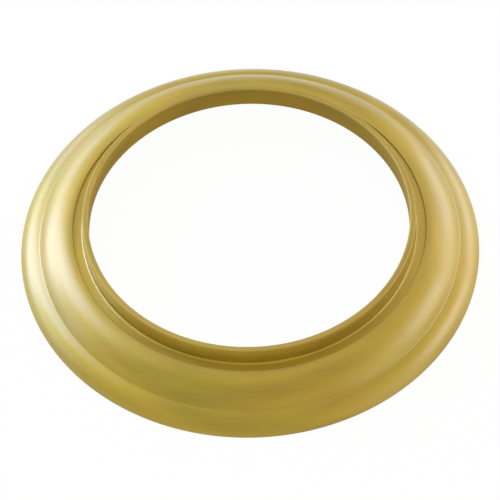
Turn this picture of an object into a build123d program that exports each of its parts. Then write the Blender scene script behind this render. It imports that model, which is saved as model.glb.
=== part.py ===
"""Tub spout flange: a brass trim ring that covers the wall opening behind a tub spout.

One hollow-backed ring, turned about +Z. It lies on its rim at Z = 0, the side that goes to
the wall, and its lip points up, to the spout. Sizes are in millimetres.
"""
import os

from build123d import *

# Radial sizes, from the bore outwards
bore_diameter = 52.84
lip_wall = 0.98
seat_width = 1.7
crown_land_width = 0.45
upper_lobe_width = 5.18
lower_lobe_width = 3.27
rim_land_width = 1.7

# Heights, from the wall upwards
rim_height = 0.2
lower_lobe_rise = 2.57
upper_lobe_rise = 3.36
seat_depth = 0.5
lip_height = 3.32

# Bulge of each lobe above the straight line between its ends
lower_lobe_bulge = 0.49
upper_lobe_bulge = 0.68

# Thickness of the hollow-backed crown
wall = 1.15

# Rounded edges and corners
crease_fillet = 0.45
lip_foot_fillet = 0.4
step_fillet = 0.15
step_round = 0.12
lip_round = 0.22
bore_round = 0.2
rim_round = 0.12

# Radii and heights that follow from the sizes above
bore_radius = bore_diameter / 2
lip_radius = bore_radius + lip_wall
step_radius = lip_radius + seat_width
land_radius = step_radius + crown_land_width
crease_radius = land_radius + upper_lobe_width
outer_radius = crease_radius + lower_lobe_width
crease_height = rim_height + lower_lobe_rise
crown_height = crease_height + upper_lobe_rise
seat_height = crown_height - seat_depth
top_height = seat_height + lip_height
web_height = crown_height - wall


def nearest_vertex(sketch, radius, height):
    """The corner of a half section at the given radius and height."""
    return sketch.vertices().sort_by_distance((radius, height))[0]


def crown_section(foot_height):
    """Half section of the crown: two lobes with a crease between them, filled to the axis."""
    with BuildSketch() as crown:
        with BuildLine():
            Polyline((0, crown_height), (0, foot_height), (outer_radius, foot_height), (outer_radius, rim_height))
            SagittaArc((outer_radius, rim_height), (crease_radius, crease_height), -lower_lobe_bulge)
            SagittaArc((crease_radius, crease_height), (land_radius, crown_height), -upper_lobe_bulge)
            Line((land_radius, crown_height), (0, crown_height))
        make_face()
    return crown.sketch


# The hollow back: the crown's own outline, set in by the wall, open below and clear of the rim's land
with BuildSketch() as hollow:
    add(crown_section(foot_height=-2 * wall))
    offset(amount=-wall, kind=Kind.ARC)
    with Locations((outer_radius - rim_land_width, -wall)):
        Rectangle(rim_land_width, wall + crown_height, align=Align.MIN, mode=Mode.SUBTRACT)

with BuildPart() as spout_flange:
    with BuildSketch(Plane.XZ) as section:
        add(crown_section(foot_height=0))
        add(hollow.sketch, mode=Mode.SUBTRACT)

        # The bore, and the seat sunk into the crown for the end of the spout
        Rectangle(bore_radius, crown_height, align=Align.MIN, mode=Mode.SUBTRACT)
        with Locations((bore_radius, seat_height)):
            Rectangle(step_radius - bore_radius, seat_depth, align=Align.MIN, mode=Mode.SUBTRACT)

        # The lip, which lines the bore and stands up inside the spout
        with Locations((bore_radius, web_height)):
            Rectangle(lip_wall, top_height - web_height, align=Align.MIN)

        # Corners, each rounded where a casting is rounded or dressed
        fillet(nearest_vertex(section, crease_radius, crease_height), crease_fillet)
        lip_edge_round = min(lip_round, 0.4 * lip_wall)
        fillet(nearest_vertex(section, bore_radius, top_height), lip_edge_round)
        fillet(nearest_vertex(section, lip_radius, top_height), lip_edge_round)
        fillet(nearest_vertex(section, lip_radius, seat_height), lip_foot_fillet)
        fillet(nearest_vertex(section, step_radius, seat_height), step_fillet)
        fillet(nearest_vertex(section, step_radius, crown_height), step_round)
        fillet(nearest_vertex(section, bore_radius, web_height), bore_round)
        fillet(nearest_vertex(section, outer_radius, 0), rim_round)
    revolve(axis=Axis.Z)

spout_flange.part.label = "spout_flange"

os.makedirs("parts", exist_ok=True)
export_step(spout_flange.part, "parts/spout_flange.step")
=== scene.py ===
"""Looks of the tub spout flange: a satin brass ring on a white floor under soft studio light.

The ring is turned again from the CAD part's own half section, at a finer and even step, and gets
its finish here. The script also adds the floor, the lights and the camera. Lengths are in metres
and angles in degrees.
"""
import math

import bpy
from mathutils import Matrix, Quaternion, Vector


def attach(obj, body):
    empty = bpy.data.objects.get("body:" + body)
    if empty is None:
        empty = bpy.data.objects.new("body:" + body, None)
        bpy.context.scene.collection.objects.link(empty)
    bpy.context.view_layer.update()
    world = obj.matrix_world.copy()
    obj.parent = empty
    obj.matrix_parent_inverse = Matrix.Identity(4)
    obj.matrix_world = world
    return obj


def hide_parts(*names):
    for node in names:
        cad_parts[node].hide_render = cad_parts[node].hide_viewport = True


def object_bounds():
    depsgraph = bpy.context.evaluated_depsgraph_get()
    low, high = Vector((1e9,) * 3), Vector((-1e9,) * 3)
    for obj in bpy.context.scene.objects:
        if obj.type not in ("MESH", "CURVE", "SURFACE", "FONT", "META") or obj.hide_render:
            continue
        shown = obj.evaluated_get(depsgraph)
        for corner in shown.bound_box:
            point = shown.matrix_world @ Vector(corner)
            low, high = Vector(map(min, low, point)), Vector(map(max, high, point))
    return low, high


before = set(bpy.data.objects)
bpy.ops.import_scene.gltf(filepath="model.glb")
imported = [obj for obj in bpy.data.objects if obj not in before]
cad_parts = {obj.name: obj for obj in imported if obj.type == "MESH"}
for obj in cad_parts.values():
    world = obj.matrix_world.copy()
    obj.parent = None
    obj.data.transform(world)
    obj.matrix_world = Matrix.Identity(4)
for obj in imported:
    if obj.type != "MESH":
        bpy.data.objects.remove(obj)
cad_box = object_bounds()

CAD_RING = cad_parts["spout_flange"]
RING_RADIUS = cad_box[1].x

# The turned ring: steps round its axis, and the corner angle above which an edge stays sharp
TURN_STEPS = 512
SHARP_ANGLE = 25.0

# Where the CAD mesh's seam is looked for, and the digits that tell its points apart
SEAM_WIDTH = 1e-7
SEAM_DIGITS = 6

# Camera, fitted to the ring's edges in the photograph
IMAGE_SIZE = 500
CAMERA_RADII = 15.0
CAMERA_AZIMUTH = 180.0
CAMERA_ELEVATION = 53.32
CAMERA_ROLL = 1.95
FOCAL_PIXELS = 3432.0
FRAME_DOWN_PIXELS = 3.09
SENSOR_WIDTH = 36.0
CLIP_NEAR = 0.01
CLIP_FAR = 10.0

# Tints of the soft boxes, which with the warm world come out near neutral on a level surface
COOL = (0.72, 0.97, 1.68)
MILD = (0.92, 1.0, 1.35)
PLAIN = (1.0, 1.0, 1.0)

# Soft boxes: azimuth from behind the ring (+Y) towards the right (+X), elevation, edge, radiance, tint
LIGHT_DISTANCE = 0.6
SOFT_BOXES = {
    "left_low_box": (-60.0, 6.0, 0.26, 3.39, COOL),
    "left_box": (-57.0, 24.0, 0.26, 2.94, COOL),
    "left_high_box": (-60.0, 42.0, 0.26, 3.52, COOL),
    "left_back_box": (-33.0, 10.0, 0.26, 1.92, COOL),
    "left_front_box": (-85.0, 15.0, 0.26, 1.02, COOL),
    "right_back_box": (45.0, 10.0, 0.26, 2.02, MILD),
    "right_back_high_box": (45.0, 30.0, 0.26, 0.77, MILD),
    "right_box": (68.0, 12.0, 0.26, 1.28, MILD),
    "right_side_box": (88.0, 26.0, 0.26, 2.05, MILD),
    "right_front_box": (118.0, 15.0, 0.34, 0.45, MILD),
    "top_box": (0.0, 60.0, 0.50, 0.29, PLAIN),
}

# The world: strength and tint
AMBIENT = 0.624
AMBIENT_TINT = (1.04, 1.0, 0.55)

# Floor: half its edge, how far it lies under the rim, and its white. Shares of it are plain white
# to the camera and to reflections, and the rest takes the light
FLOOR_HALF = 3.0
FLOOR_DROP = 0.00005
FLOOR_WHITE = 0.9
FLOOR_GLOW_SEEN = 0.97
FLOOR_GLOW_MIRRORED = 0.35

# Finishes of the crown, of the seat and lip wall, of the lip's top, and of the bore and back:
# the two tones that mix in soft patches, roughness and coat weight. The seat and lip wall tones hold
# painted light, and the lip's top and bore tones painted shade, each partly a real finish
FINISHES = {
    "satin_brass": ((0.488, 0.348, 0.019), (0.511, 0.333, 0.025), 0.6, 1.0),
    # Seat and lip wall: partly a brighter turned finish, partly painted light that lifts the shade the
    # lip throws on the seat
    "turned_brass_painted_light": ((0.530, 0.390, 0.033), (0.548, 0.378, 0.041), 0.55, 1.0),
    # The lip's top: no coat, and a tone that is partly tarnish and partly painted shade that dims the
    # lip's top
    "bare_brass_painted_shade": ((0.475, 0.356, 0.099), (0.492, 0.348, 0.113), 0.66, 0.0),
    # Bore and back: no coat, and a darker tone that is partly unpolished brass and partly painted shade
    # on the bore wall
    "dull_brass_painted_shade": ((0.422, 0.303, 0.050), (0.444, 0.297, 0.058), 0.68, 0.0),
}
WORN_BRASS = (0.656, 0.469, 0.094)
ROUGHNESS_SPREAD = 0.12
COAT_ROUGHNESS = 0.32
COAT_IOR = 1.82

# Radius of the step round the seat, and height at which the lip's edges start to round over;
# these bound the zones that hold painted light on the seat and lip wall and painted shade on the lip's
# top
SEAT_RADIUS = 0.02911
LIP_EDGE_HEIGHT = 0.00872

# Turning marks run round the ring: how often they change along it, and per metre across it,
# their depth, the shade that they add, and the detail and range of their noise
MARKS_AROUND = 2.0
FINE_MARKS_ACROSS = 2400.0
BROAD_MARKS_ACROSS = 420.0
MARK_DEPTH = 0.000012
MARK_SHADE = 0.36
MARK_DETAIL = 3.0
MARK_RANGE = (0.3, 0.7)

# Soft patches: how many per metre, their detail, and the noise between their two tones
PATCHES_PER_METRE = 75.0
PATCH_DETAIL = 2.0
PATCH_RANGE = (0.35, 0.65)

# An outside corner wears where its radius is under the loose one, and fully at the tight one
LOOSE_RADIUS = 0.0006
TIGHT_RADIUS = 0.0002
WEAR = 0.35

# Places of the factor, the two colours and the result among the mix node's sockets
MIX_FACTOR = 0
MIX_FIRST = 6
MIX_SECOND = 7
MIX_RESULT = 2


def direction(azimuth, elevation):
    """Unit vector from the ring towards a light, or towards the camera."""
    a = math.radians(azimuth)
    e = math.radians(elevation)
    return Vector((math.sin(a) * math.cos(e), math.cos(a) * math.cos(e), math.sin(e)))


def link(thing):
    """Puts an object into the scene."""
    bpy.context.scene.collection.objects.link(thing)
    return thing


def section_outline(mesh):
    """The ring's half section as (radius, height) points in order, read off the CAD mesh's seam."""
    seam = {}
    for vertex in mesh.vertices:
        if abs(vertex.co.y) < SEAM_WIDTH and vertex.co.x > 0:
            seam[vertex.index] = (round(vertex.co.x, SEAM_DIGITS), round(vertex.co.z, SEAM_DIGITS))
    joined = {point: set() for point in seam.values()}
    for edge in mesh.edges:
        first, second = (seam.get(index) for index in edge.vertices)
        if first and second and first != second:
            joined[first].add(second)
            joined[second].add(first)

    # A flat face has no seam of its own: its two ends are the loose points at its height
    loose = sorted((point for point in joined if len(joined[point]) == 1), key=lambda point: point[1])
    for first, second in zip(loose[::2], loose[1::2]):
        joined[first].add(second)
        joined[second].add(first)

    # Round the outline from its lowest and outermost point, up the outside first
    start = max(joined, key=lambda point: (-point[1], point[0]))
    outline = [start, max(joined[start])]
    while len(outline) < len(joined):
        onward = joined[outline[-1]] - {outline[-2]}
        outline.append(onward.pop())
    return outline


def edge_wear(outline):
    """How worn each point of the section is: 0 on faces and inside corners, up to 1 on tight edges."""
    wear = []
    for i, (r, z) in enumerate(outline):
        before = Vector((r, z)) - Vector(outline[i - 1])
        after = Vector(outline[(i + 1) % len(outline)]) - Vector((r, z))
        bend = 2 * -before.angle_signed(after) / (before.length + after.length)
        share = (bend * LOOSE_RADIUS - 1) / (LOOSE_RADIUS / TIGHT_RADIUS - 1)
        wear.append(min(max(share, 0.0), 1.0))
    return wear


def section_zones(outline):
    """Which finish each step of the outline has, counted from the crown inwards: the crown, the seat and
    lip wall with painted light, the lip's top with painted shade, and the bore and back with partly
    painted shade.
    """
    steps = range(len(outline))
    seat = next(i for i in steps if outline[i][0] < SEAT_RADIUS)
    lip_top = next(i for i in steps if outline[i][1] > LIP_EDGE_HEIGHT)
    bore = min(steps, key=lambda i: outline[i][0])
    return [int(i >= seat) + int(i >= lip_top) + int(i >= bore) for i in steps]


def turned_ring():
    """The ring as one dense mesh, with the CAD part's section at every step round the axis."""
    outline = section_outline(CAD_RING.data)
    count = len(outline)
    points = []
    faces = []
    for step in range(TURN_STEPS):
        angle = 2 * math.pi * step / TURN_STEPS
        points += [(r * math.cos(angle), r * math.sin(angle), z) for r, z in outline]
        here = step * count
        ahead = (step + 1) % TURN_STEPS * count
        for i in range(count):
            j = (i + 1) % count
            faces.append((here + i, ahead + i, ahead + j, here + j))
    mesh = bpy.data.meshes.new("flange_ring")
    mesh.from_pydata(points, [], faces)
    mesh.shade_smooth()
    mesh.set_sharp_from_angle(angle=math.radians(SHARP_ANGLE))
    worn = mesh.attributes.new("worn", "FLOAT", "POINT")
    worn.data.foreach_set("value", edge_wear(outline) * TURN_STEPS)

    # The seat and lip wall get a finish with painted light, the lip's top and the bore finishes with
    # painted shade
    for name, finish in FINISHES.items():
        mesh.materials.append(brass_material(name, *finish))
    mesh.polygons.foreach_set("material_index", section_zones(outline) * TURN_STEPS)
    ring = link(bpy.data.objects.new("flange_ring", mesh))
    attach(ring, "root")
    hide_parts("spout_flange")


def feed(tree, socket, source):
    """Gives a socket either a fixed value or another socket's output."""
    if isinstance(source, bpy.types.NodeSocket):
        tree.links.new(source, socket)
    else:
        socket.default_value = source


def reckon(tree, operation, *sources):
    """A math node's result."""
    node = tree.nodes.new("ShaderNodeMath")
    node.operation = operation
    for socket, source in zip(node.inputs, sources):
        feed(tree, socket, source)
    return node.outputs["Value"]


def blend(tree, share, first, second, mode="MIX"):
    """A colour between two others."""
    node = tree.nodes.new("ShaderNodeMix")
    node.data_type = "RGBA"
    node.blend_type = mode
    feed(tree, node.inputs[MIX_FACTOR], share)
    for place, colour in ((MIX_FIRST, first), (MIX_SECOND, second)):
        feed(tree, node.inputs[place], (*colour, 1.0) if isinstance(colour, tuple) else colour)
    return node.outputs[MIX_RESULT]


def spread(tree, source, low, high, to_low=0.0, to_high=1.0):
    """Maps one range of values to another and stops at its ends."""
    node = tree.nodes.new("ShaderNodeMapRange")
    for name, value in (("From Min", low), ("From Max", high), ("To Min", to_low), ("To Max", to_high)):
        node.inputs[name].default_value = value
    tree.links.new(source, node.inputs["Value"])
    return node.outputs["Result"]


def turning_marks(tree, place, radius, across):
    """Noise drawn out round the ring's axis, like the marks of turning and hand polishing."""
    vector = tree.nodes.new("ShaderNodeCombineXYZ")
    for axis in ("X", "Y"):
        unit = reckon(tree, "DIVIDE", place.outputs[axis], radius)
        feed(tree, vector.inputs[axis], reckon(tree, "MULTIPLY", unit, MARKS_AROUND))
    feed(tree, vector.inputs["Z"], reckon(tree, "MULTIPLY", radius, across))
    noise = tree.nodes.new("ShaderNodeTexNoise")
    noise.noise_dimensions = "4D"
    noise.inputs["Scale"].default_value = 1.0
    noise.inputs["Detail"].default_value = MARK_DETAIL
    tree.links.new(vector.outputs["Vector"], noise.inputs["Vector"])
    feed(tree, noise.inputs["W"], reckon(tree, "MULTIPLY", place.outputs["Z"], across))
    return noise.outputs[0]


def brass_material(name, cool_tone, warm_tone, roughness, coat_weight):
    """Brass with turning marks, soft patches and worn edges, under clear lacquer where it has a coat."""
    material = bpy.data.materials.new(name)
    material.use_nodes = True
    tree = material.node_tree
    shader = tree.nodes["Principled BSDF"]
    coordinates = tree.nodes.new("ShaderNodeTexCoord")
    place = tree.nodes.new("ShaderNodeSeparateXYZ")
    tree.links.new(coordinates.outputs["Object"], place.inputs["Vector"])
    x_squared = reckon(tree, "MULTIPLY", place.outputs["X"], place.outputs["X"])
    radius_squared = reckon(tree, "MULTIPLY_ADD", place.outputs["Y"], place.outputs["Y"], x_squared)
    radius = reckon(tree, "SQRT", radius_squared)
    fine = turning_marks(tree, place, radius, FINE_MARKS_ACROSS)
    broad = turning_marks(tree, place, radius, BROAD_MARKS_ACROSS)

    # Soft patches of two tones, shaded along the broad marks
    patches = tree.nodes.new("ShaderNodeTexNoise")
    patches.inputs["Scale"].default_value = PATCHES_PER_METRE
    patches.inputs["Detail"].default_value = PATCH_DETAIL
    tree.links.new(coordinates.outputs["Object"], patches.inputs["Vector"])
    # For the turned finish these tones hold painted light, for the bare and dull finishes painted shade
    colour = blend(tree, spread(tree, patches.outputs[0], *PATCH_RANGE), cool_tone, warm_tone)
    shade = tree.nodes.new("ShaderNodeCombineXYZ")
    level = spread(tree, broad, *MARK_RANGE, 1.0 - MARK_SHADE / 2, 1.0 + MARK_SHADE / 2)
    for axis in ("X", "Y", "Z"):
        tree.links.new(level, shade.inputs[axis])
    colour = blend(tree, 1.0, colour, shade.outputs["Vector"], mode="MULTIPLY")

    # Edges rubbed brighter
    worn = tree.nodes.new("ShaderNodeAttribute")
    worn.attribute_name = "worn"
    colour = blend(tree, reckon(tree, "MULTIPLY", worn.outputs["Fac"], WEAR), colour, WORN_BRASS)
    tree.links.new(colour, shader.inputs["Base Color"])

    # Roughness along the broad marks, and fine marks as bump
    half_spread = ROUGHNESS_SPREAD / 2
    rough = spread(tree, broad, *MARK_RANGE, roughness - half_spread, roughness + half_spread)
    tree.links.new(rough, shader.inputs["Roughness"])
    bump = tree.nodes.new("ShaderNodeBump")
    bump.inputs["Distance"].default_value = MARK_DEPTH
    tree.links.new(fine, bump.inputs["Height"])
    tree.links.new(bump.outputs["Normal"], shader.inputs["Normal"])

    shader.inputs["Metallic"].default_value = 1.0
    shader.inputs["Coat Weight"].default_value = coat_weight
    shader.inputs["Coat Roughness"].default_value = COAT_ROUGHNESS
    shader.inputs["Coat IOR"].default_value = COAT_IOR
    return material


def make_camera():
    """The photograph's view, from the front and above, with its slight roll."""
    data = bpy.data.cameras.new("camera")
    data.sensor_width = SENSOR_WIDTH
    data.lens = FOCAL_PIXELS * SENSOR_WIDTH / IMAGE_SIZE
    data.shift_y = -FRAME_DOWN_PIXELS / IMAGE_SIZE
    data.clip_start = CLIP_NEAR
    data.clip_end = CLIP_FAR
    camera = link(bpy.data.objects.new("camera", data))
    back = direction(CAMERA_AZIMUTH, CAMERA_ELEVATION)
    camera.location = back * CAMERA_RADII * RING_RADIUS
    camera.rotation_mode = "QUATERNION"
    level = (-back).to_track_quat("-Z", "Y")
    camera.rotation_quaternion = level @ Quaternion((0, 0, 1), math.radians(-CAMERA_ROLL))
    bpy.context.scene.camera = camera


def make_soft_box(name, azimuth, elevation, edge, radiance, tint):
    """A square lamp that faces the ring; its power is its radiance times pi times its area."""
    data = bpy.data.lights.new(name, "AREA")
    data.color = tint
    data.shape = "SQUARE"
    data.size = edge
    data.energy = radiance * math.pi * edge ** 2
    lamp = link(bpy.data.objects.new(name, data))
    towards = direction(azimuth, elevation)
    lamp.location = towards * LIGHT_DISTANCE
    lamp.rotation_mode = "QUATERNION"
    lamp.rotation_quaternion = (-towards).to_track_quat("-Z", "Y")
    lamp.visible_camera = False


def make_world():
    """Even light from all round."""
    world = bpy.data.worlds.new("studio")
    world.use_nodes = True
    bpy.context.scene.world = world
    background = world.node_tree.nodes["Background"]
    background.inputs["Color"].default_value = (*AMBIENT_TINT, 1.0)
    background.inputs["Strength"].default_value = AMBIENT


def make_floor():
    """A level white floor that takes the ring's shadow, faintly to the camera."""
    mesh = bpy.data.meshes.new("floor")
    corners = [(x * FLOOR_HALF, y * FLOOR_HALF, 0) for x, y in ((-1, -1), (1, -1), (1, 1), (-1, 1))]
    mesh.from_pydata(corners, [], [(0, 1, 2, 3)])
    floor = link(bpy.data.objects.new("floor", mesh))
    floor.location.z = -FLOOR_DROP
    material = bpy.data.materials.new("floor")
    material.use_nodes = True
    tree = material.node_tree
    tree.nodes.remove(tree.nodes["Principled BSDF"])
    matt = tree.nodes.new("ShaderNodeBsdfDiffuse")
    matt.inputs["Color"].default_value = (FLOOR_WHITE, FLOOR_WHITE, FLOOR_WHITE, 1.0)
    glow = tree.nodes.new("ShaderNodeEmission")
    glow.inputs["Strength"].default_value = 1.0
    path = tree.nodes.new("ShaderNodeLightPath")
    mirrored = reckon(tree, "MULTIPLY", path.outputs["Is Glossy Ray"], FLOOR_GLOW_MIRRORED)
    share = reckon(tree, "MULTIPLY_ADD", path.outputs["Is Camera Ray"], FLOOR_GLOW_SEEN, mirrored)
    mix = tree.nodes.new("ShaderNodeMixShader")
    tree.links.new(share, mix.inputs["Fac"])
    tree.links.new(matt.outputs["BSDF"], mix.inputs[1])
    tree.links.new(glow.outputs["Emission"], mix.inputs[2])
    tree.links.new(mix.outputs["Shader"], tree.nodes["Material Output"].inputs["Surface"])
    mesh.materials.append(material)


make_camera()
for box_name, box in SOFT_BOXES.items():
    make_soft_box(box_name, *box)
make_world()
make_floor()
turned_ring()
bpy.context.scene.view_settings.view_transform = "Standard"
